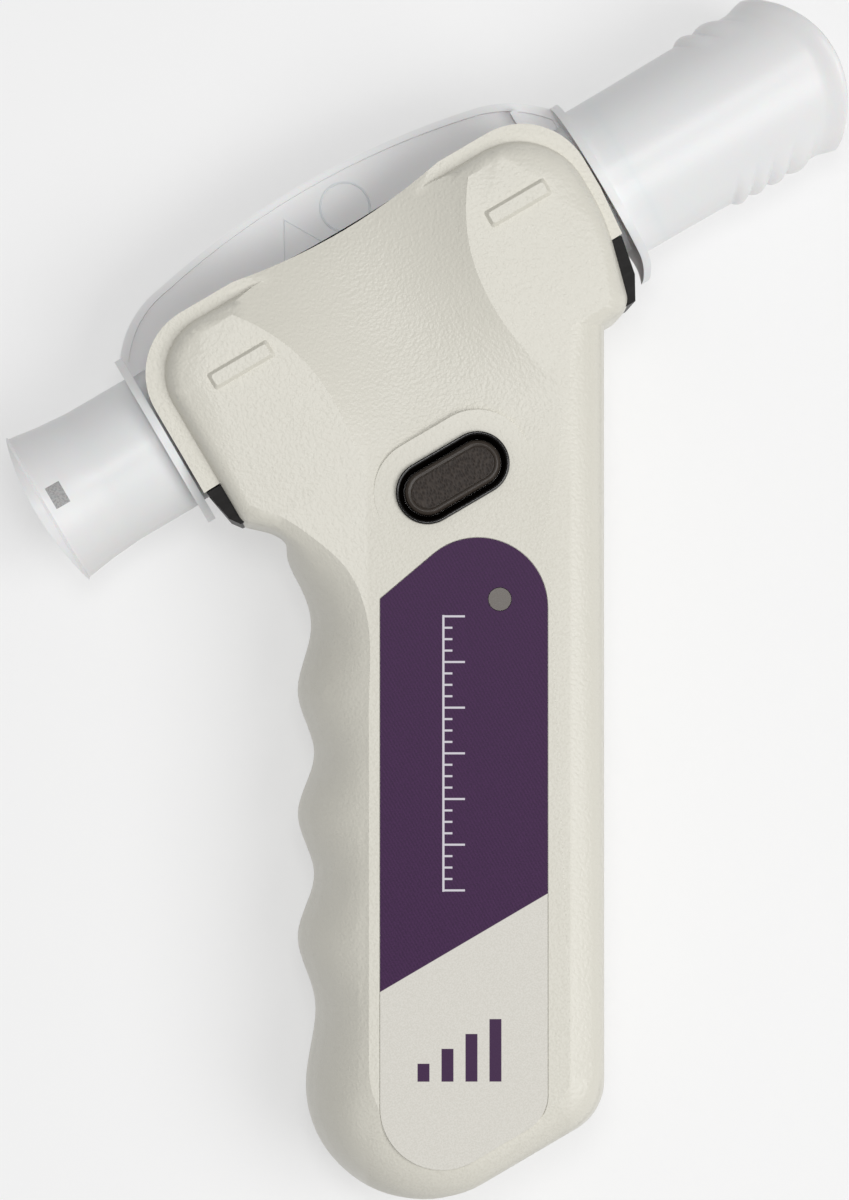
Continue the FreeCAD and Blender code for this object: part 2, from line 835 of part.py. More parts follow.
def breathing_tube():
    disc = left_flange + flange_thickness
    outer = [
        rod(Vector(-disc, 0, 0), along_x, left_flange_radius, flange_thickness),
        oval_bar(-left_flange, right_flange, duct_high, duct_wide),
        mouthpiece(),
        right_flange_plate(),
        fin(),
    ]
    for x in (-guide_rib_place, guide_rib_place):
        half = guide_rib_width / 2
        ring = oval_bar(x - half, x + half, channel_depth - guide_gap, channel_half - guide_gap)
        outer.append(ring.common(block(x - half, x + half, -far, guide_rib_top, -far, far)))
    body = outlet().fuse(outer)
    inner_end = right_flange + flange_thickness
    duct = oval_bar(-disc, inner_end, duct_high - tube_wall, duct_wide - tube_wall)
    outlet_inside = [(-outlet_end, outlet_flare), (-outlet_bore_start, outlet_bore), (-disc, outlet_bore)]
    mouth_inside = [(inner_end, mouth_bore), (mouth_straight, mouth_bore), (mouth_end, mouth_bore_flare)]
    body = body.cut(duct).cut(lathe(outlet_inside)).cut(lathe(mouth_inside))
    floor = screen_thickness + screen_depth
    core = oval_bar(-left_flange, right_flange, duct_high - floor, duct_wide - floor)
    window = window_block(0)
    recess = window_block(screen_ledge).cut(core)
    for tool in (window, recess, turned(window), turned(recess)):
        body = body.cut(tool)
    return body


def screen():
    """The thin screen over the beam's window, following the curve of the duct."""
    deep = screen_depth + screen_thickness
    skin = oval_bar(-left_flange, right_flange, duct_high - screen_depth, duct_wide - screen_depth)
    core = oval_bar(-left_flange, right_flange, duct_high - deep, duct_wide - deep)
    return window_block(screen_ledge).common(skin.cut(core))


def bezel_opening():
    """Length and width of the opening the cap moves in."""
    return bezel_length - 2 * bezel_inner, bezel_width - 2 * bezel_inner


def button_bezel():
    low = half_depth - bezel_depth
    high = half_depth + bezel_rise
    lip = stadium(bezel_length, bezel_width, half_depth, high)
    body = stadium(bezel_length - 2 * bezel_lip, bezel_width - 2 * bezel_lip, low, half_depth)
    return lip.fuse(body).cut(stadium(*bezel_opening(), low, high))


def button_cap():
    length, width = [size - 2 * cap_gap for size in bezel_opening()]
    top = half_depth + cap_rise
    body = stadium(length, width, cap_flange_low, top - cap_bevel)
    inset = 2 * cap_bevel
    outlines = [
        stadium_outline(length, width, top - cap_bevel),
        stadium_outline(length - inset, width - inset, top),
    ]
    crown = Part.makeLoft(outlines, True, True)
    grow = 2 * (cap_gap + cap_flange)
    flange = stadium(length + grow, width + grow, cap_flange_low, cap_flange_top)
    stem_low = board_level + switch_height + plunger_rise + thread_gap
    stem = pin(Vector(button_x, button_y, 0), stem_radius, stem_low, cap_flange_low)
    return body.fuse([crown, flange, stem])


def button_guide():
    """A bridge over the switch whose bore keeps the button's stem upright."""
    x0 = button_x - guide_length / 2
    x1 = button_x + guide_length / 2
    half = guide_width / 2
    opening = guide_opening / 2
    bridge = block(x0, x1, button_y - half, button_y + half, board_level, guide_top)
    gap = block(button_x - opening, button_x + opening, button_y - half, button_y + half, board_level, guide_roof)
    place = Vector(button_x, button_y, 0)
    return bridge.cut([gap, pin(place, stem_radius + running_gap, board_level, guide_top)])


def tact_switch():
    half = switch_side / 2
    top = board_level + switch_height
    body = block(button_x - half, button_x + half, button_y - half, button_y + half, board_level, top)
    bottom = top - plunger_depth - plunger_room
    return body.cut(pin(Vector(button_x, button_y, 0), plunger_radius + running_gap, bottom, top))


def switch_plunger():
    top = board_level + switch_height
    return pin(Vector(button_x, button_y, 0), plunger_radius, top - plunger_depth, top + plunger_rise)


def label_plate():
    flat = Part.Face(rounded(label_points(), half_depth - label_depth)).makeOffset2D(-label_gap)
    plate = flat.extrude(along_z * label_depth)
    return plate.cut(pin(spot(light_across, light_down), light_radius + fit_gap, 0, far))


def light_pipe():
    place = spot(light_across, light_down)
    low = board_level + led[-1] + led_gap
    pipe = pin(place, light_radius, low, half_depth)
    flange = pin(place, light_radius + light_flange, ceiling - light_flange_height, ceiling)
    return pipe.fuse(flange)


def main_board():
    corners = [
        spot(board_left, board_top),
        spot(board_right, board_top),
        spot(board_right, down_to(board_right, -board_bottom)),
        spot(board_left, down_to(board_left, -board_bottom)),
    ]
    board = slab([(corner.x, corner.y, board_corner) for corner in corners], board_under, board_level)
    hole = board_screw_shank + fit_gap
    return board.cut([pin(place, hole, board_under, board_level) for place in board_screw_places()])


def board_part(across, down, wide, long, height):
    return leaning_block(across, down, wide, long, board_level, board_level + height)


def usb_socket():
    half = usb_width / 2
    back = usb_length - usb_face
    shell = block(usb_x - half, usb_x + half, -usb_face, back, usb_level - usb_height / 2, board_under)
    inner = half - usb_wall
    rise = usb_height / 2 - usb_wall
    hole = block(usb_x - inner, usb_x + inner, -usb_face, back - usb_wall, usb_level - rise, usb_level + rise)
    return shell.cut(hole)


def usb_tongue():
    half = tongue_width / 2
    back = usb_length - usb_face - usb_wall
    rise = tongue_height / 2
    return block(usb_x - half, usb_x + half, back - tongue_length, back, usb_level - rise, usb_level + rise)


def housing_screw(place):
    head = pin(place, screw_head_radius, -cup_floor - screw_head_height, -cup_floor)
    return head.fuse(pin(place, screw_shank, -cup_floor, screw_length - cup_floor))


def board_screw(place):
    low = board_under - board_screw_head_height
    head = pin(place, board_screw_head, low, board_under)
    return head.fuse(pin(place, board_screw_shank, board_under, board_under + board_screw_length))


def all_pieces():
    pieces = {
        "front_shell": front_shell(),
        "rear_shell": rear_shell(),
        "cradle_liner": cradle_liner(),
        "breathing_tube": breathing_tube(),
        "front_screen": screen(),
        "rear_screen": turned(screen()),
        "front_transducer": transducer(),
        "rear_transducer": turned(transducer()),
        "front_transducer_seal": transducer_seal(),
        "rear_transducer_seal": turned(transducer_seal()),
        "button_bezel": button_bezel(),
        "button_cap": button_cap(),
        "button_guide": button_guide(),
        "tact_switch": tact_switch(),
        "switch_plunger": switch_plunger(),
        "label_plate": label_plate(),
        "light_pipe": light_pipe(),
        "main_board": main_board(),
        "processor_chip": board_part(*processor),
        "analog_chip": board_part(*analog),
        "shield_can": board_part(*shield),
        "crystal": board_part(*quartz),
        "board_connector": board_part(*connector),
        "status_led": board_part(*led),
        "usb_socket": usb_socket(),
        "usb_tongue": usb_tongue(),
        "housing_screws": Part.makeCompound([housing_screw(place) for place in screw_places()]),
        "board_screws": Part.makeCompound([board_screw(place) for place in board_screw_places()]),
    }
    return pieces


os.makedirs("parts", exist_ok=True)
pieces = all_pieces()
extent = Part.makeCompound(list(pieces.values())).optimalBoundingBox(False, False)
middle = extent.Center
shift = Vector(-middle.x, -middle.y, -extent.ZMin)
for name, shape in pieces.items():
    shape = shape.removeSplitter()
    solid = shape.Solids[0] if len(shape.Solids) == 1 else shape
    solid.translate(shift)
    solid.exportStep("parts/" + name + ".step")
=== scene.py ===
import json
import math

import bmesh
import bpy
from mathutils import Matrix, Vector


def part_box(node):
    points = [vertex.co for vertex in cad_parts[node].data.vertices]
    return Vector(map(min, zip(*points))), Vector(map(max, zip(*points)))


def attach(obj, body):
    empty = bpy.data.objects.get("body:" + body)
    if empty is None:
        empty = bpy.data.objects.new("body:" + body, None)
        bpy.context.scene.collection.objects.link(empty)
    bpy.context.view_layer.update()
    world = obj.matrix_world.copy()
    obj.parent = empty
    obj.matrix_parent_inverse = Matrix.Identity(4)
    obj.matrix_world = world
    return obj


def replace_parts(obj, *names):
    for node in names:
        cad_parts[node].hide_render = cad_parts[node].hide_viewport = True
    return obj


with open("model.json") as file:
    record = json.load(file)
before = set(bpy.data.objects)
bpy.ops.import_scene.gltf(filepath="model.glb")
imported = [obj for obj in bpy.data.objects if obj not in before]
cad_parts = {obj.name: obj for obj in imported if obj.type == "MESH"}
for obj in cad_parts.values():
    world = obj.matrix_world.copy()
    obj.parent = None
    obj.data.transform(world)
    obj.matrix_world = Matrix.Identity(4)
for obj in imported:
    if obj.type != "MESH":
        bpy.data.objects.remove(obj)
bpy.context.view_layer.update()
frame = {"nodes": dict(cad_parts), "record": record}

# The view: the spirometer lies on its flat back, and its tube runs along X and lifts out along Y.
# The camera looks down through a long lens from over the outlet's side, turned so that the leaning
# handle stands upright. The frame is 849 by 1200, and a millimetre of the object takes 5.6 pixels.
mounts = {mount["name"]: Vector(mount["pos_m"]) for mount in frame["record"]["mounts"]}
outlet_to_middle = 0.0545
axis = mounts["outlet_bore"] + Vector((outlet_to_middle, 0, 0))
lean = math.radians(30.4)
cos_lean = math.cos(lean)
sin_lean = math.sin(lean)
handle_up = Vector((sin_lean, cos_lean, 0))
frame_pixels = 1200
pixels_per_metre = 5600
frame_height = frame_pixels / pixels_per_metre
view_across = 0.0073
view_down = 0.0514
outlet_side = 0.025
distance = 1.1


def spot(across, down, level):
    """A place across the handle and down from the tube, in metres, at a height above the table."""
    x = axis.x + across * cos_lean - down * sin_lean
    y = axis.y - across * sin_lean - down * cos_lean
    return Vector((x, y, level))


view_middle = spot(view_across, view_down, axis.z)
lens = bpy.data.cameras.new("camera")
camera = bpy.data.objects.new("camera", lens)
camera.location = view_middle + Vector((-outlet_side, 0, distance))
backward = (camera.location - view_middle).normalized()
rightward = handle_up.cross(backward).normalized()
upward = backward.cross(rightward)
camera.rotation_euler = Matrix((rightward, upward, backward)).transposed().to_euler()
lens.lens = lens.sensor_width * distance / frame_height
bpy.context.scene.collection.objects.link(camera)
bpy.context.scene.camera = camera
bpy.context.scene.view_settings.view_transform = "Standard"


# The table: a wide pale sheet under the object, lit by an even sky, a large soft lamp on the
# handle's right and a smaller one high beyond the tube, so that the grips and the saddle are
# modelled. What the camera sees of the sheet glows a little, so it stays pale round its shadow.
class Signal:
    """One value in a material. Arithmetic on it adds Math nodes."""

    def __init__(self, finish, socket):
        self.finish = finish
        self.socket = socket

    def maths(self, operation, first, second=0.0):
        return self.finish.node("ShaderNodeMath", {"operation": operation}, {0: first, 1: second})

    def __add__(self, other):
        return self.maths("ADD", self, other)

    def __radd__(self, other):
        return self.maths("ADD", other, self)

    def __sub__(self, other):
        return self.maths("SUBTRACT", self, other)

    def __rsub__(self, other):
        return self.maths("SUBTRACT", other, self)

    def __mul__(self, other):
        return self.maths("MULTIPLY", self, other)

    def __rmul__(self, other):
        return self.maths("MULTIPLY", other, self)

    def __truediv__(self, other):
        return self.maths("DIVIDE", self, other)

    def __rtruediv__(self, other):
        return self.maths("DIVIDE", other, self)

    def __mod__(self, other):
        return self.maths("FLOORED_MODULO", self, other)

    def __rmod__(self, other):
        return self.maths("FLOORED_MODULO", other, self)

    def __pow__(self, other):
        return self.maths("POWER", self, other)

    def __rpow__(self, other):
        return self.maths("POWER", other, self)

    def __abs__(self):
        return self.maths("ABSOLUTE", self)

    def least(self, other):
        return self.maths("MINIMUM", self, other)

    def most(self, other):
        return self.maths("MAXIMUM", self, other)

    def rise(self, low, high):
        """0 below low and 1 above high, smooth between; falls where low is the larger."""
        ends = {"From Min": low, "From Max": high, "Value": self}
        return self.finish.node("ShaderNodeMapRange", {"interpolation_type": "SMOOTHSTEP"}, ends)

    def near(self, middle, half, soft):
        """1 within half of middle, fading over soft."""
        return abs(self - middle).rise(half + soft, half)


class Finish:
    """A material, its one shader and the nodes that vary it over the surface."""

    def __init__(self, name, uniform):
        self.material = bpy.data.materials.new(name)
        self.material.use_nodes = True
        self.tree = self.material.node_tree
        self.shader = self.tree.nodes["Principled BSDF"]
        for socket, value in uniform.items():
            self.shader.inputs[socket].default_value = value
        self.place = self.node("ShaderNodeTexCoord", out="Object")
        parts = [self.node("ShaderNodeSeparateXYZ", sockets={0: self.place}, out=i) for i in range(3)]
        self.x, self.y, self.z = parts

    def node(self, kind, settings=None, sockets=None, out=0):
        """Adds a node: its settings first, then the values or links of its sockets."""
        node = self.tree.nodes.new(kind)
        for name, value in (settings or {}).items():
            setattr(node, name, value)
        for name, value in (sockets or {}).items():
            if isinstance(value, Signal):
                self.tree.links.new(value.socket, node.inputs[name])
            else:
                node.inputs[name].default_value = value
        return Signal(self, node.outputs[out])

    def stretched(self, factors):
        """The place on the object, scaled along each axis."""
        return self.node("ShaderNodeVectorMath", {"operation": "MULTIPLY"}, {0: self.place, 1: factors})

    def noise(self, scale, detail=2.0, stretch=(1, 1, 1)):
        """Cloudy variation from 0 to 1, with about scale lumps to the metre."""
        place = self.stretched(stretch)
        return self.node("ShaderNodeTexNoise", {}, {"Vector": place, "Scale": scale, "Detail": detail})

    def blend(self, share, first, second):
        """A colour between two others."""
        return self.node("ShaderNodeMix", {"data_type": "RGBA"}, {0: share, 6: first, 7: second}, out=2)

    def relief(self, height, depth, strength=1.0):
        """Raises the surface by height, which runs from 0 to 1, times depth in metres."""
        normal = self.node("ShaderNodeBump", {}, {"Height": height, "Distance": depth, "Strength": strength})
        self.feed("Normal", normal)

    def feed(self, socket, value):
        self.tree.links.new(value.socket, self.shader.inputs[socket])

    def colour(self, value):
        self.feed("Base Color", value)

    def roughness(self, value):
        self.feed("Roughness", value)


def paint(red, green, blue):
    """A colour as the eye reads it, 0 to 255, turned into light."""
    return tuple((part / 255) ** 2.2 for part in (red, green, blue)) + (1.0,)


piece_crisp = math.radians(34)


def piece(name, mesh_maker, finish, body):
    """A new object from a bmesh maker, with its finish, riding on a body."""
    shape = bmesh.new()
    mesh_maker(shape)
    bmesh.ops.recalc_face_normals(shape, faces=shape.faces)
    mesh = bpy.data.meshes.new(name)
    shape.to_mesh(mesh)
    shape.free()
    mesh.materials.append(finish.material)
    made = bpy.data.objects.new(name, mesh)
    bpy.context.scene.collection.objects.link(made)
    if body:
        mesh.shade_smooth()
        mesh.set_sharp_from_angle(angle=piece_crisp)
        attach(made, body)
    return made


sheet_reach = 1.6
sheet_cells = 8
sheet_drop = 0.00005
sheet_pale = paint(240, 240, 240)
sheet_paler = paint(242, 242, 242)
sheet_seen = paint(176, 176, 176)
glow_seen = (0.5, 0.5, 0.5, 1)
no_glow = (0, 0, 0, 1)
sky_white = (1, 1, 1, 1)
sky_strength = 0.34
key_place = spot(0.50, 0.24, 0.92)
key_size = 0.6
key_power = 5.3
front_place = spot(-0.02, -0.12, 1.35)
front_size = 0.24
front_power = 3.1


def table_sheet(shape):
    drop = Matrix.Translation((0, 0, -sheet_drop))
    cells = {"x_segments": sheet_cells, "y_segments": sheet_cells}
    bmesh.ops.create_grid(shape, size=sheet_reach, matrix=drop, **cells)


table_sockets = {"Roughness": 0.75, "Specular IOR Level": 0.2, "Emission Strength": 1.0}
table_finish = Finish("table_paint", table_sockets)
ray_kinds = ("Is Camera Ray", "Is Glossy Ray", "Is Transmission Ray")
rays = [table_finish.node("ShaderNodeLightPath", out=kind) for kind in ray_kinds]
seen = rays[0].most(rays[1]).most(rays[2])
sheet_colour = table_finish.blend(table_finish.noise(scale=30), sheet_pale, sheet_paler)
table_finish.colour(table_finish.blend(seen, sheet_colour, sheet_seen))
table_finish.feed("Emission Color", table_finish.blend(seen, no_glow, glow_seen))
table = piece("table", table_sheet, table_finish, None)

sky = bpy.data.worlds.new("sky")
sky.use_nodes = True
sky.node_tree.nodes["Background"].inputs["Color"].default_value = sky_white
sky.node_tree.nodes["Background"].inputs["Strength"].default_value = sky_strength
bpy.context.scene.world = sky


def lamp(name, place, size, power):
    """A square soft lamp that shines at the middle of the handle."""
    light = bpy.data.lights.new(name, "AREA")
    light.shape = "SQUARE"
    light.size = size
    light.energy = power
    holder = bpy.data.objects.new(name, light)
    holder.location = place
    aim = view_middle - place
    holder.rotation_euler = aim.to_track_quat("-Z", "Y").to_euler()
    bpy.context.scene.collection.objects.link(holder)


lamp("key_lamp", key_place, key_size, key_power)
lamp("front_lamp", front_place, front_size, front_power)


# The housing: two shells of warm grey ABS, moulded with a fine spark-eroded grain on the flat
# panel and a smoother one on the grips, and screwed together from the back along one joint line.
shell_grey = paint(221, 218, 206)
shell_pale = paint(225, 222, 211)
shell_speck = paint(206, 202, 189)
joint_shade = paint(96, 92, 84)
joint_half = 0.00007
joint_soft = 0.00005
joint_share = 0.75
joint_dip = 3.0
# The panel's sides and its upper end: where its grain begins and where it is full.
panel_left = (-0.0036, -0.0026)
panel_right = (0.0329, 0.0322)
panel_head = (0.016, 0.036)
speck_share = 0.35
shell_relief = 0.00012
face_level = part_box("label_plate")[1].z
level_slack = 0.00001
weld_reach = 0.000002
least_edge = 0.000001
shell_crisp = 38
panel_turn = math.radians(12)
saddle_turn = math.radians(4)
saddle_half = 0.029
saddle_foot = -0.032
saddle_head = 0.0118
panel_middle = 0.01
crease_down_left = 0.037
crease_down_right = 0.019


def across_handle(x, y):
    """How far a place lies across the handle from the tube's middle, for numbers and for signals."""
    return (x - axis.x) * cos_lean - (y - axis.y) * sin_lean


def down_handle(x, y):
    """How far a place lies down the handle from the tube's middle, for numbers and for signals."""
    return (x - axis.x) * -sin_lean - (y - axis.y) * cos_lean


def housing_finish(name):
    finish = Finish(name, {"Specular IOR Level": 0.5})
    across = across_handle(finish.x, finish.y)
    down = down_handle(finish.x, finish.y)
    panel = across.rise(*panel_left) * across.rise(*panel_right) * down.rise(*panel_head)
    mottle = finish.noise(scale=60, detail=3)
    grain = finish.noise(scale=2400, detail=1.5)
    pits = finish.noise(scale=1700, detail=1.0)
    joint = finish.z.near(axis.z, joint_half, joint_soft)
    clean = finish.blend(mottle, shell_grey, shell_pale)
    specked = finish.blend(grain.rise(0.62, 0.3) * speck_share * panel, clean, shell_speck)
    finish.colour(finish.blend(joint * joint_share, specked, joint_shade))
    finish.roughness(0.34 + 0.12 * panel + 0.06 * pits)
    grain_height = 0.2 + 0.5 * panel
    pit_height = 1.3 - 0.4 * panel
    height = (grain * grain_height + pits * pit_height) - joint * joint_dip
    finish.relief(height, depth=shell_relief, strength=0.7)
    return finish


def welded(name, node, finish, sharp, trim=None, body="housing"):
    """The frame's own solid with its facets welded, so that light runs smoothly over its curves.

    An edge stays crisp where the surface turns by more than sharp degrees, along the two creases
    that border the handle's flat panel, and where the saddle sinks from the lobes.
    """
    shape = bmesh.new()
    shape.from_mesh(frame["nodes"][node].data)
    bmesh.ops.remove_doubles(shape, verts=shape.verts, dist=weld_reach)
    bmesh.ops.dissolve_degenerate(shape, edges=shape.edges, dist=least_edge)
    if trim:
        trim(shape)
    for face in shape.faces:
        face.smooth = True
    for edge in shape.edges:
        turn = edge.calc_face_angle(math.pi)
        middle = (edge.verts[0].co + edge.verts[1].co) / 2
        across = across_handle(middle.x, middle.y)
        down = down_handle(middle.x, middle.y)
        past = crease_down_left if across < panel_middle else crease_down_right
        on_face = abs(abs(middle.z - axis.z) - (face_level - axis.z)) < level_slack
        panel_border = on_face and down > past and turn > panel_turn
        along_head = abs(middle.x - axis.x) < saddle_half and saddle_foot < middle.y - axis.y < saddle_head
        saddle_border = on_face and along_head and turn > saddle_turn
        edge.smooth = turn < math.radians(sharp) and not panel_border and not saddle_border
    mesh = bpy.data.meshes.new(name)
    shape.to_mesh(mesh)
    shape.free()
    for attribute in [a for a in mesh.attributes if a.name == "custom_normal"]:
        mesh.attributes.remove(attribute)
    mesh.materials.append(finish.material)
    made = bpy.data.objects.new(name, mesh)
    bpy.context.scene.collection.objects.link(made)
    even = made.modifiers.new("even_normals", "WEIGHTED_NORMAL")
    even.keep_sharp = True
    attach(made, body)
    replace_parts(made, node)
    return made


welded("front_moulding", "front_shell", housing_finish("front_abs"), shell_crisp)
welded("rear_moulding", "rear_shell", housing_finish("rear_abs"), shell_crisp)


# The cradle liner: one black nylon moulding that lines the trough, carries both ultrasonic heads
# and shows as a dark edge at each end of the head. It is trapped between the shells.
liner_black = paint(17, 14, 12)
liner_scuff = paint(30, 26, 23)
liner_crisp = 34
plate_side = 0.0060
plate_top = 0.0149
plate_inset = 0.0051
plate_ends = (-0.0436, 0.0431)
lip_reach = 0.014
lip_steps = 24
lip_proud = 0.0004
lip_foot = 0.0140
rim_top = 0.0173
rim_dip = 0.0019
rim_dip_half = 0.021
wall_inside = 0.0112
wall_outside = 0.0124


def loft(shape, rings, joined=False):
    """Skins rings that have the same number of points, with its ends capped or joined together."""
    loops = [[shape.verts.new(point) for point in ring] for ring in rings]
    following = loops[1:] + loops[:1] if joined else loops[1:]
    for lower, upper in zip(loops, following):
        for i in range(len(lower)):
            j = (i + 1) % len(lower)
            shape.faces.new((lower[i], lower[j], upper[j], upper[i]))
    if not joined:
        shape.faces.new(loops[0][::-1])
        shape.faces.new(loops[-1])


def dress(finish, *nodes):
    """Gives a finish to pieces that the frame already holds."""
    for node in nodes:
        mesh = frame["nodes"][node].data
        mesh.materials.clear()
        mesh.materials.append(finish.material)


def cut_off(shape, place, outward):
    """Cuts away what lies outward of a plane, and returns the edges of the cut."""
    parts = shape.verts[:] + shape.edges[:] + shape.faces[:]
    cut = bmesh.ops.bisect_plane(shape, geom=parts, plane_co=place, plane_no=outward, clear_outer=True)
    return [part for part in cut["geom_cut"] if isinstance(part, bmesh.types.BMEdge)]


def shape_liner(shape):
    """Slopes the plates' upper corners under the rims and draws the trough's edge up to the dip."""
    for end in plate_ends:
        side = math.copysign(1, end)
        low = axis + Vector((end, plate_side, 0))
        high = axis + Vector((end - side * plate_inset, plate_top, 0))
        run = high - low
        outward = Vector((side * run.y, -side * run.x, 0))
        bmesh.ops.holes_fill(shape, edges=cut_off(shape, low, outward), sides=0)
    for face in (1, -1):
        rings = []
        for i in range(lip_steps + 1):
            x = lip_reach * (2 * i / lip_steps - 1)
            edge = rim_top - rim_dip * (1 - (x / rim_dip_half) ** 2)
            top = edge + lip_proud * (1 - (x / lip_reach) ** 2)
            inside = [(lip_foot, wall_inside), (top, wall_inside)]
            outside = [(top, wall_outside), (lip_foot, wall_outside)]
            rings.append([axis + Vector((x, y, face * z)) for y, z in inside + outside])
        loft(shape, rings)


liner_finish = Finish("liner_nylon", {"Specular IOR Level": 0.22})
scuffs = liner_finish.noise(scale=900, detail=4, stretch=(0.15, 1, 1))
liner_finish.colour(liner_finish.blend(scuffs.rise(0.6, 0.8), liner_black, liner_scuff))
liner_finish.roughness(0.38 + 0.2 * scuffs)
liner_finish.relief(liner_finish.noise(scale=2200), depth=0.00004, strength=0.4)
welded("trough_moulding", "cradle_liner", liner_finish, liner_crisp, shape_liner)


# The ultrasonic heads: turned aluminium cans with a matched front layer, which face each other
# across the tube at a slant. Fine lines from the turning run round them.
head_grey = paint(190, 191, 193)
head_bright = paint(214, 215, 217)
head_finish = Finish("head_aluminium", {"Metallic": 1.0})
head_lines = head_finish.noise(scale=4000, detail=2, stretch=(0.1, 1, 1))
head_finish.colour(head_finish.blend(head_lines, head_grey, head_bright))
head_finish.roughness(0.3 + 0.16 * head_lines)
dress(head_finish, "front_transducer", "rear_transducer")


# The heads' sleeves: soft black rubber rings, pressed into the slanted bosses, which hold the
# heads and keep the housing's rattle off them. The rubber has a faint bloom.
sleeve_black = paint(34, 34, 35)
sleeve_bloom = paint(48, 48, 49)
sleeve_finish = Finish("sleeve_rubber", {"Specular IOR Level": 0.25})
bloom = sleeve_finish.noise(scale=500, detail=3)
sleeve_finish.colour(sleeve_finish.blend(bloom, sleeve_black, sleeve_bloom))
sleeve_finish.roughness(0.72 + 0.12 * bloom)
sleeve_finish.relief(sleeve_finish.noise(scale=3000), depth=0.00005, strength=0.4)
dress(sleeve_finish, "front_transducer_seal", "rear_transducer_seal")


# The breathing tube: one thin white polypropylene moulding with a plain outlet, two flanges, a fin
# to hold it by, and a mouthpiece with soft bite ribs. A fresh one is snapped into the cradle from
# above for each patient. A small grey block is printed by its outlet.
tube_white = paint(235, 235, 236)
tube_bright = paint(240, 240, 240)
ink_dark = paint(150, 150, 150)
ink_light = paint(172, 172, 172)
block_from_middle = 0.06645
block_half_length = 0.00135
block_aside = 0.00065
block_half_width = 0.00205
block_soft = 0.00008
block_fade = 0.001
tube_crisp = 38
barrel_start = 0.050
barrel_radius = 0.01445
barrel_bore = 0.0129
barrel_flare = 0.0006
barrel_length = 0.0416
bore_flare = 0.0009
flare_power = 1.3
lip_flare = 0.0008
bore_lip_share = 0.6
lip_run = 0.0042
lip_round = 0.0006
sweep_middle = 0.0732
sweep_radius = 0.0184
sweep_drop = -0.0006
rib_height = 0.0009
rib_fullness = 0.7
upper_ribs = [(0.0059, 0.0110), (0.0110, 0.0148)]
lower_ribs = [(0.0054, 0.0103), (0.0103, 0.0143), (0.0143, 0.0180), (0.0180, 0.0215)]
rib_full = math.radians(18)
rib_gone = math.radians(46)
barrel_steps = 110
bore_steps = 22
around_steps = 112
# The rings that round the lip, outside and then inside, as shares of its rounding: how far each
# is drawn into the wall, and how far back from the end.
outer_lip = [(0.3, 0.3), (1, 0)]
inner_lip = [(0.6, 0), (0.15, 0.35)]


def ease(value, low, high):
    """0 below low and 1 above high, smooth between."""
    share = min(max((value - low) / (high - low), 0), 1)
    return share * share * (3 - 2 * share)


def rib_swell(angle, from_end):
    """How far the ribs raise the barrel at an angle from its top and a distance from its end."""
    upper = math.cos(angle) > 0
    off = abs(angle) if upper else math.pi - abs(angle)
    fade = 1 - ease(off, rib_full, rib_gone)
    for near_end, far_end in upper_ribs if upper else lower_ribs:
        if near_end < from_end < far_end:
            share = (from_end - near_end) / (far_end - near_end)
            return rib_height * fade * math.sin(math.pi * share) ** rib_fullness
    return 0.0


def barrel_ring(share, inside, inset=0.0, draw=0.0):
    """A ring of the mouthpiece, whose last rings follow the curved cut across its end."""
    ring = []
    for i in range(around_steps):
        angle = math.tau * i / around_steps - math.pi
        rise = math.cos(angle)
        height = barrel_radius * rise - sweep_drop
        reach = sweep_middle + math.sqrt(sweep_radius**2 - height**2)
        x = barrel_start + share * (reach - barrel_start)
        along = ((x - barrel_start) / barrel_length) ** flare_power
        from_end = reach - x
        lip = 1 - ease(from_end, 0, lip_run)
        if inside:
            radius = barrel_bore + bore_flare * along + lip_flare * lip * bore_lip_share + inset
        else:
            swell = rib_swell(angle, from_end)
            radius = barrel_radius + barrel_flare * along + lip_flare * lip + swell - inset
        ring.append(axis + Vector((x - draw, radius * rise, radius * math.sin(angle))))
    return ring


def shape_mouthpiece(shape):
    """Cuts the barrel short of its ribs and lofts the rest, out to the lip and back down the bore."""
    rims = cut_off(shape, axis + Vector((barrel_start, 0, 0)), (1, 0, 0))
    bmesh.ops.bridge_loops(shape, edges=rims)
    rings = []
    for i in range(barrel_steps + 1):
        rings.append(barrel_ring(i / barrel_steps, False, draw=lip_round * i / barrel_steps))
    for inset, draw in outer_lip:
        rings.append(barrel_ring(1, False, lip_round * inset, lip_round * draw))
    for inset, draw in inner_lip:
        rings.append(barrel_ring(1, True, lip_round * inset, lip_round * draw))
    for i in range(bore_steps + 1):
        share = 1 - i / bore_steps
        rings.append(barrel_ring(share, True, draw=lip_round * share))
    loft(shape, rings, joined=True)
    bmesh.ops.recalc_face_normals(shape, faces=shape.faces)


tube_sockets = {"Subsurface Weight": 0.12, "Subsurface Scale": 0.003, "Specular IOR Level": 0.45}
tube_finish = Finish("tube_polypropylene", tube_sockets)
flow = tube_finish.noise(scale=45, detail=3, stretch=(1, 0.35, 1))
printed_x = tube_finish.x.near(axis.x - block_from_middle, block_half_length, block_soft)
printed_y = tube_finish.y.near(axis.y + block_aside, block_half_width, block_soft)
printed = printed_x * printed_y * tube_finish.z.rise(axis.z, axis.z + block_fade)
plain = tube_finish.blend(flow, tube_white, tube_bright)
ink = tube_finish.blend(tube_finish.noise(scale=3500, detail=1).rise(0.35, 0.6), ink_dark, ink_light)
tube_finish.colour(tube_finish.blend(printed, plain, ink))
tube_finish.roughness(0.3 + 0.1 * flow + 0.15 * printed)
tube_finish.relief(flow * 0.7 + tube_finish.noise(scale=1400) * 0.3, depth=0.00005, strength=0.35)
welded(
    "tube_moulding",
    "breathing_tube",
    tube_finish,
    tube_crisp,
    trim=shape_mouthpiece,
    body="breathing_tube",
)


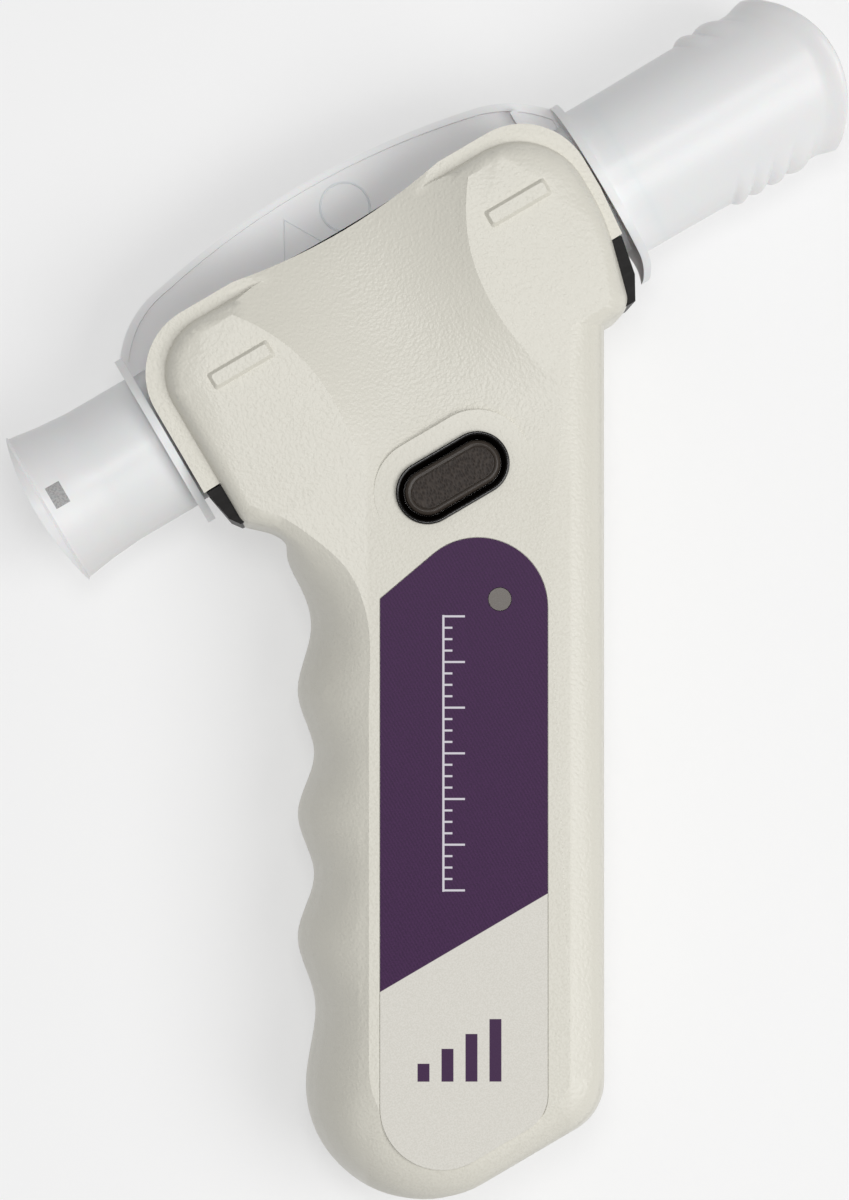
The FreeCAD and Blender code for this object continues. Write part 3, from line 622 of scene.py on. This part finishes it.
# Two marks moulded on the fin's face: a raised ring and a raised triangle, each a thin ridge
# with sloping sides, part of the same polypropylene.
fin_face = axis.z + 0.001
ridge_width = 0.00042
ridge_height = 0.00016
ridge_root = 0.0001
ridge_fall = 0.00004
ridge_shoulder = 0.8
ridge_crown = 0.4
ring_middle = axis + Vector((0.0035, 0.0197, 0))
ring_radius = 0.0044
ring_corners = 72
triangle_middle = axis + Vector((-0.0070, 0.0187, 0))
triangle_radius = 0.0045
triangle_corners = 3
triangle_side_steps = 20
triangle_turn = math.pi / 2


def ridge(middle, radius, corners, side_steps, turn):
    """A closed ridge along the sides of a polygon, which is a ring where it has many corners."""
    around = []
    for i in range(corners):
        start = turn + math.tau * i / corners
        end = turn + math.tau * (i + 1) / corners
        for k in range(side_steps):
            share = k / side_steps
            x = math.cos(start) * (1 - share) + math.cos(end) * share
            y = math.sin(start) * (1 - share) + math.sin(end) * share
            around.append((x, y))

    def ring(offset, level):
        reach = radius + offset
        return [Vector((middle.x + x * reach, middle.y + y * reach, level)) for x, y in around]

    def make(shape):
        half = ridge_width / 2
        foot = fin_face - ridge_root
        top = fin_face + ridge_height
        shoulder = top - ridge_fall
        section = [(half, foot), (half * ridge_shoulder, shoulder), (half * ridge_crown, top)]
        section += [(-offset, level) for offset, level in section[::-1]]
        loft(shape, [ring(offset, level) for offset, level in section], joined=True)

    return make


ring_mark = ridge(ring_middle, ring_radius, ring_corners, 1, 0)
piece("fin_ring_mark", ring_mark, tube_finish, "breathing_tube")
triangle_mark = ridge(triangle_middle, triangle_radius, triangle_corners, triangle_side_steps, triangle_turn)
piece("fin_triangle_mark", triangle_mark, tube_finish, "breathing_tube")


# The window screens: fine woven polyester welded over the openings in the tube's sides, which let
# sound through and keep moisture off the heads.
thread_pitch = 0.00025
thread_shade = paint(120, 121, 122)
thread_white = paint(222, 223, 224)
screen_finish = Finish("screen_mesh", {"Roughness": 0.7})
warp = abs((screen_finish.x % thread_pitch) - thread_pitch / 2) / thread_pitch
weft = abs((screen_finish.y % thread_pitch) - thread_pitch / 2) / thread_pitch
weave = (warp.most(weft) * 2).rise(0.55, 0.95)
screen_finish.colour(screen_finish.blend(weave, thread_shade, thread_white))
screen_finish.relief(weave, depth=0.00006, strength=0.8)
dress(screen_finish, "front_screen", "rear_screen")


# The bezel: an oval frame of gloss black ABS with a rolled rim, pressed into the front shell. It
# stands a little proud of the pad round it, and its body fills the hole in the shell.
bezel_low, bezel_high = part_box("button_bezel")
bezel_top = bezel_high.z
button_middle = (bezel_low + bezel_high) / 2
half_straight = (bezel_high.x - bezel_low.x - bezel_high.y + bezel_low.y) / 2
bezel_reach = (bezel_high.y - bezel_low.y) / 2
bezel_width = 0.0014
bezel_lip = 0.0007
bezel_bore = bezel_reach - bezel_width
bezel_body = bezel_reach - bezel_lip
bore_edge_low = 0.00012
bore_edge_high = 0.00006
bore_edge_slope = 0.00008
# Points of the rolled rim: how far each lies in from the outside and down from the top.
bezel_rim = [
    (0.00062, 0.00016),
    (0.00042, 0.00003),
    (0.00026, 0),
    (0.00012, 0.00005),
    (0.00003, 0.00018),
    (0, 0.0003),
]
bezel_black = paint(8, 6, 4)
bezel_haze = paint(14, 11, 9)
end_steps = 24


def stadium(radius, level, straight=half_straight):
    """A ring with two round ends and straight sides at the button's place."""
    points = []
    for side, start in ((1, -math.pi / 2), (-1, math.pi / 2)):
        for i in range(end_steps + 1):
            angle = start + math.pi * i / end_steps
            x = button_middle.x + side * straight + radius * math.cos(angle)
            points.append(Vector((x, button_middle.y + radius * math.sin(angle), level)))
    return points


def bezel_ring(shape):
    profile = [
        (bezel_bore, bezel_low.z),
        (bezel_bore, face_level - bore_edge_low),
        (bezel_bore + bore_edge_slope, face_level + bore_edge_high),
    ]
    profile += [(bezel_reach - inward, bezel_top - drop) for inward, drop in bezel_rim]
    profile += [(bezel_reach, face_level), (bezel_body, face_level), (bezel_body, bezel_low.z)]
    loft(shape, [stadium(radius, level) for radius, level in profile], joined=True)


bezel_finish = Finish("bezel_gloss_black", {"Specular IOR Level": 0.35})
bezel_marks = bezel_finish.noise(scale=700, detail=3)
bezel_finish.colour(bezel_finish.blend(bezel_marks, bezel_black, bezel_haze))
bezel_finish.roughness(0.10 + 0.05 * bezel_marks)
bezel = piece("bezel_ring", bezel_ring, bezel_finish, "housing")
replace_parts(bezel, "button_bezel")


# The key: charcoal ABS with a rounded rim and a dished pad that is grained like leather. It has a
# flange that stops it under the bezel and a stem that reaches down to the switch.
key_low, key_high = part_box("button_cap")
key_top = key_high.z
key_gap = 0.0002
key_reach = bezel_bore - key_gap
flange_width = 0.0007
flange_gap = 0.0001
flange_height = 0.0008
key_flange = key_reach + flange_width
flange_top = bezel_low.z - flange_gap
flange_low = flange_top - flange_height
stem_radius = 0.0016
pad_inset = 0.00115
pad_reach = key_reach - pad_inset
pad_edge = 0.0002
# Points of the rounded rim, and then of the dished pad: how far each lies in from the key's or
# the pad's reach, and down from the key's top.
key_rim = [
    (0, 0.00075),
    (0.00006, 0.0005),
    (0.0002, 0.00024),
    (0.00038, 0.00008),
    (0.00055, 0),
    (0.00072, 0),
]
pad_dish = [
    (-0.00012, 0.0001),
    (0, 0.0003),
    (0.0003, 0.00032),
    (0.0012, 0.00028),
    (0.0022, 0.00026),
]
pad_dark = paint(44, 38, 34)
pad_light = paint(66, 58, 52)
rim_dark = paint(50, 44, 39)
rim_light = paint(62, 55, 49)


def key_cap(shape):
    stem = [stadium(stem_radius, level, 0.0) for level in (key_low.z, flange_low)]
    profile = [(key_flange, flange_low), (key_flange, flange_top), (key_reach, flange_top)]
    profile += [(key_reach - inward, key_top - drop) for inward, drop in key_rim]
    profile += [(pad_reach - inward, key_top - drop) for inward, drop in pad_dish]
    loft(shape, stem + [stadium(radius, level) for radius, level in profile])
    bmesh.ops.remove_doubles(shape, verts=shape.verts, dist=least_edge)


key_finish = Finish("key_grained_charcoal", {"Specular IOR Level": 0.3})
key_along = (abs(key_finish.x - button_middle.x) - half_straight).most(0)
key_beside = key_finish.y - button_middle.y
from_middle = (key_along * key_along + key_beside * key_beside) ** 0.5
on_pad = from_middle.rise(pad_reach, pad_reach - pad_edge)
leather_sockets = {"Vector": key_finish.stretched((1, 0.55, 1)), "Scale": 2900.0}
leather = key_finish.node("ShaderNodeTexVoronoi", {"feature": "SMOOTH_F1"}, leather_sockets)
dust = key_finish.noise(scale=1500, detail=3)
pad_colour = key_finish.blend(leather.rise(0.1, 0.9), pad_dark, pad_light)
rim_colour = key_finish.blend(dust, rim_dark, rim_light)
key_finish.colour(key_finish.blend(on_pad, rim_colour, pad_colour))
key_finish.roughness(0.34 + 0.22 * on_pad)
key_finish.relief(leather * on_pad, depth=0.00022, strength=0.7)
key = piece("key_cap", key_cap, key_finish, "button")
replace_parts(key, "button_cap")


# The bridge: a pale acetal moulding that stands over the switch, with a bore that keeps the key's
# stem upright. Its faces keep the mould's fine grain.
bridge_white = paint(226, 225, 219)
bridge_bright = paint(234, 233, 228)
bridge_finish = Finish("bridge_acetal", {"Roughness": 0.45})
bridge_finish.colour(bridge_finish.blend(bridge_finish.noise(scale=400), bridge_white, bridge_bright))
bridge_finish.relief(bridge_finish.noise(scale=2500), depth=0.00003, strength=0.4)
dress(bridge_finish, "button_guide")


# The switch and the board's connector: small housings of black glass-filled nylon, soldered to
# the board.
switch_black = paint(38, 38, 40)
switch_grey = paint(52, 52, 54)
switch_finish = Finish("switch_housing", {"Roughness": 0.4})
switch_finish.colour(switch_finish.blend(switch_finish.noise(scale=800), switch_black, switch_grey))
switch_finish.relief(switch_finish.noise(scale=4000), depth=0.00003, strength=0.4)
dress(switch_finish, "tact_switch", "board_connector")


# The switch's plunger: a brick red nylon button that the key's stem pushes down. It is moulded
# smooth and held captive in the switch.
plunger_red = paint(150, 60, 48)
plunger_bright = paint(162, 68, 54)
plunger_finish = Finish("plunger_nylon", {"Roughness": 0.35})
plunger_finish.colour(plunger_finish.blend(plunger_finish.noise(scale=900), plunger_red, plunger_bright))
dress(plunger_finish, "switch_plunger")


# The label: a polycarbonate film printed from behind, purple above and light silver below, parted
# by a line that runs as the tube does. Its only print is a plain graduated scale and four plain bars.
# It is glued into a shallow recess in the front shell.
purple_deep = paint(58, 32, 66)
purple_light = paint(78, 48, 86)
silver_grey = paint(216, 213, 204)
silver_light = paint(225, 222, 214)
scale_ink = paint(214, 210, 218)
bar_ink = paint(70, 46, 77)
split_drop = 0.1033
split_level = axis.y - split_drop
print_soft = 0.00006
print_sharpness = 20000
scale_top = 0.0545
scale_length = 0.048
scale_steps = 24
scale_line = 0.0102
scale_margin = 0.0002
tick_pitch = scale_length / scale_steps
tick_edge = (0.00021, 0.00015)
tick_root = (-0.00012, -0.00004)
short_tick = 0.0016
long_extra = 0.0022
long_every = 4
long_pitch = tick_pitch * long_every
spine_half = 0.00016
bar_count = 4
bar_left = 0.0052
bar_pitch = 0.0042
bar_top = 0.1225
bar_room = 0.0135
bar_low = bar_top + bar_room
first_bar = 0.0032
bar_growth = 0.0026
bars_half = bar_pitch * bar_count / 2
bars_edge = 0.00001
# A bar's middle, half width and soft edge, as shares of the bars' pitch.
bar_place = (0.36, 0.24, 0.02)

label_finish = Finish("label_film", {"Coat Weight": 0.05, "Coat Roughness": 0.3, "Specular IOR Level": 0.12})
label_across = across_handle(label_finish.x, label_finish.y)
label_down = down_handle(label_finish.x, label_finish.y)
silver_part = label_finish.y.rise(split_level + print_soft, split_level - print_soft)
dots = label_finish.noise(scale=3600, detail=1).rise(0.3, 0.7)
thread_sockets = {"Vector": label_finish.place, "Scale": 560.0, "Distortion": 1.5}
threads = label_finish.node("ShaderNodeTexWave", {}, thread_sockets)
purple = label_finish.blend(dots * 0.5 + threads * 0.3, purple_deep, purple_light)
silver = label_finish.blend(dots, silver_grey, silver_light)
along = label_down - scale_top
beside = label_across - scale_line
tick = abs((along + tick_pitch / 2) % tick_pitch - tick_pitch / 2).rise(*tick_edge)
major = abs((along + long_pitch / 2) % long_pitch - long_pitch / 2).rise(tick_pitch * 0.5, tick_pitch * 0.4)
tick_reach = short_tick + long_extra * major
in_tick = ((tick_reach - beside) * print_sharpness).least(1).most(0) * beside.rise(*tick_root)
in_scale = along.near(scale_length / 2, scale_length / 2 + scale_margin, print_soft)
spine = beside.near(0, spine_half, print_soft)
scale_print = (tick * in_tick).most(spine) * in_scale
from_bars = label_across - bar_left
bar_number = (from_bars / bar_pitch) - ((from_bars / bar_pitch) % 1.0)
in_bar = ((from_bars / bar_pitch) % 1.0).near(*bar_place) * from_bars.near(bars_half, bars_half, bars_edge)
bar_high = bar_low - first_bar - bar_growth * bar_number
below_top = ((label_down - bar_high) * print_sharpness).least(1).most(0)
bar_print = in_bar * below_top * label_down.rise(bar_low, bar_low - print_soft)
label_ground = label_finish.blend(silver_part, purple, silver)
with_scale = label_finish.blend(scale_print * (1 - silver_part), label_ground, scale_ink)
label_finish.colour(label_finish.blend(bar_print * silver_part, with_scale, bar_ink))
label_finish.roughness(0.42 + 0.1 * dots)
label_finish.relief(dots, depth=0.00002, strength=0.35)
dress(label_finish, "label_plate")


# The light pipe: a smoked clear acrylic rod that carries the light of the board's lamp to the
# label's face. It is moulded with a faint haze.
pipe_dark = paint(92, 84, 77)
pipe_light = paint(110, 102, 94)
pipe_finish = Finish("pipe_smoked_clear", {"Transmission Weight": 0.25, "Specular IOR Level": 0.5})
pipe_speck = pipe_finish.noise(scale=2400, detail=2)
pipe_finish.colour(pipe_finish.blend(pipe_speck, pipe_dark, pipe_light))
pipe_finish.roughness(0.25 + 0.15 * pipe_speck)
dress(pipe_finish, "light_pipe")


# The lamp: a light emitting diode in pale cast epoxy, soldered to the board under the light pipe.
# It is off here.
lamp_pale = paint(228, 226, 206)
lamp_bright = paint(236, 234, 216)
lamp_finish = Finish("lamp_epoxy", {"Roughness": 0.2})
lamp_finish.colour(lamp_finish.blend(lamp_finish.noise(scale=600), lamp_pale, lamp_bright))
dress(lamp_finish, "status_led")


# The board: glass epoxy under green resist, which stands a little higher over the copper tracks.
# It runs down the handle and is screwed to posts in the front shell.
resist_low = paint(22, 88, 50)
resist_high = paint(34, 112, 66)
board_finish = Finish("board_resist", {"Specular IOR Level": 0.5})
track_sockets = {"Vector": board_finish.place, "Scale": 420.0}
lands = board_finish.node("ShaderNodeTexVoronoi", {"feature": "DISTANCE_TO_EDGE"}, track_sockets)
tracks = lands.rise(0.09, 0.05)
board_finish.colour(board_finish.blend(tracks, resist_low, resist_high))
board_finish.roughness(0.32 + 0.12 * board_finish.noise(scale=500))
board_finish.relief(tracks, depth=0.00003, strength=0.6)
dress(board_finish, "main_board")


# The chips: moulded black epoxy packages with a matt, slightly grainy face, soldered to the board.
# They carry no print.
chip_black = paint(36, 36, 38)
chip_grey = paint(46, 46, 48)
chip_finish = Finish("chip_epoxy", {"Roughness": 0.6})
chip_finish.colour(chip_finish.blend(chip_finish.noise(scale=1500), chip_black, chip_grey))
chip_finish.relief(chip_finish.noise(scale=5000), depth=0.00003, strength=0.5)
dress(chip_finish, "processor_chip", "analog_chip")


# The pressed metal parts: the shielding can, the crystal's case and the socket's shell are folded or
# drawn from tinned steel, keep the fine lines of the rolled sheet, and are soldered to the board.
tin_grey = paint(186, 186, 182)
tin_bright = paint(208, 208, 204)
can_finish = Finish("can_tinned", {"Metallic": 1.0})
can_lines = can_finish.noise(scale=2600, detail=3, stretch=(0.08, 1, 1))
can_finish.colour(can_finish.blend(can_lines, tin_grey, tin_bright))
can_finish.roughness(0.28 + 0.16 * can_lines)
can_finish.relief(can_lines, depth=0.00002, strength=0.4)
dress(can_finish, "shield_can", "crystal", "usb_socket")


# The socket's tongue: a thin black nylon tab in the middle of the socket, which carries the
# contacts. It is moulded into the socket's back.
tongue_black = paint(28, 28, 30)
tongue_grey = paint(38, 38, 40)
tongue_finish = Finish("tongue_moulding", {"Roughness": 0.5})
tongue_finish.colour(tongue_finish.blend(tongue_finish.noise(scale=1200), tongue_black, tongue_grey))
dress(tongue_finish, "usb_tongue")


# The screws: four zinc plated pan heads deep in the rear shell's cups and four smaller ones under
# the board, cold headed with a cross recess and rolled with a thread.
zinc_grey = paint(176, 177, 178)
zinc_bright = paint(202, 203, 205)
case_low, case_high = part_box("housing_screws")
case_head_radius = 0.0027
case_head_height = 0.0018
case_shank_radius = 0.0012
case_pitch = 0.0011
neck_screws = [axis + Vector((-0.0290, -0.0260, 0)), axis + Vector((0.0215, -0.0255, 0))]
lower_screws = [spot(0.0006, 0.120, 0), spot(0.0310, 0.120, 0)]
small_low, small_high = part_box("board_screws")
small_head_radius = 0.0019
small_head_height = 0.0012
small_shank_radius = 0.0008
small_pitch = 0.0008
upper_board_screws = [spot(0.0080, 0.049, 0), spot(0.0236, 0.0365, 0)]
lower_board_screws = [spot(0.0080, 0.112, 0), spot(0.0236, 0.112, 0)]
round_steps = 48
# The recess from its floor outwards: its level as a share of the head's height, and its reach and
# its arm as shares of their full size. Then the head from its face to its seat: level and radius.
recess_reach = 0.55
recess_arm = 0.16
recess_profile = [(0.6, 0.35, 0.6), (0.55, 0.5, 0.8), (0.04, 1, 1), (0, 1.04, 1.15)]
head_profile = [(0, 0.7), (0.1, 0.88), (0.35, 0.98), (0.6, 1)]
least_arm = 0.001
# The shank, as shares of its radius and of the thread's pitch.
neck_share = 0.86
root_share = 0.8
thread_start = 0.25
thread_flank = 0.35
tip_run = 0.4
tip_share = 0.7
point_share = 0.3


def polar(place, level, radius_at):
    """A ring about a screw's axis whose radius may change with the angle."""
    ring = []
    for i in range(round_steps):
        angle = math.tau * i / round_steps
        radius = radius_at(angle)
        ring.append(Vector((place.x + radius * math.cos(angle), place.y + radius * math.sin(angle), level)))
    return ring


def even(radius):
    """The same radius at every angle."""
    return lambda angle: radius


def cross(reach, half):
    """Radius of a cross-shaped recess at an angle."""

    def radius_at(angle):
        arm = min(abs(math.sin(angle)), abs(math.cos(angle)))
        return min(reach, half / max(arm, least_arm))

    return radius_at


def add_screw(shape, place, face, head_radius, head_height, shank_radius, length, pitch):
    """A pan head screw that points up, with its recess facing down."""
    seat = face + head_height
    reach = head_radius * recess_reach
    arm = head_radius * recess_arm
    rings = []
    for rise, reach_share, arm_share in recess_profile:
        rings.append(polar(place, face + head_height * rise, cross(reach * reach_share, arm * arm_share)))
    for rise, share in head_profile:
        rings.append(polar(place, face + head_height * rise, even(head_radius * share)))
    rings.append(polar(place, seat, even(head_radius)))
    rings.append(polar(place, seat, even(shank_radius * neck_share)))
    for i in range(int(length / pitch)):
        low = seat + pitch * (i + thread_start)
        rings.append(polar(place, low, even(shank_radius * root_share)))
        rings.append(polar(place, low + pitch * thread_flank, even(shank_radius)))
    rings.append(polar(place, seat + length - pitch * tip_run, even(shank_radius * tip_share)))
    rings.append(polar(place, seat + length, even(shank_radius * point_share)))
    loft(shape, rings)


def all_case_screws(shape):
    length = case_high.z - case_low.z - case_head_height
    head = (case_head_radius, case_head_height)
    for place in neck_screws + lower_screws:
        add_screw(shape, place, case_low.z, *head, case_shank_radius, length, case_pitch)


def all_board_screws(shape):
    length = small_high.z - small_low.z - small_head_height
    head = (small_head_radius, small_head_height)
    for place in upper_board_screws + lower_board_screws:
        add_screw(shape, place, small_low.z, *head, small_shank_radius, length, small_pitch)


screw_finish = Finish("screw_zinc", {"Metallic": 1.0})
plating = screw_finish.noise(scale=1800, detail=3)
screw_finish.colour(screw_finish.blend(plating, zinc_grey, zinc_bright))
screw_finish.roughness(0.26 + 0.18 * plating)
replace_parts(piece("case_screws", all_case_screws, screw_finish, "housing"), "housing_screws")
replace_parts(piece("small_screws", all_board_screws, screw_finish, "housing"), "board_screws")
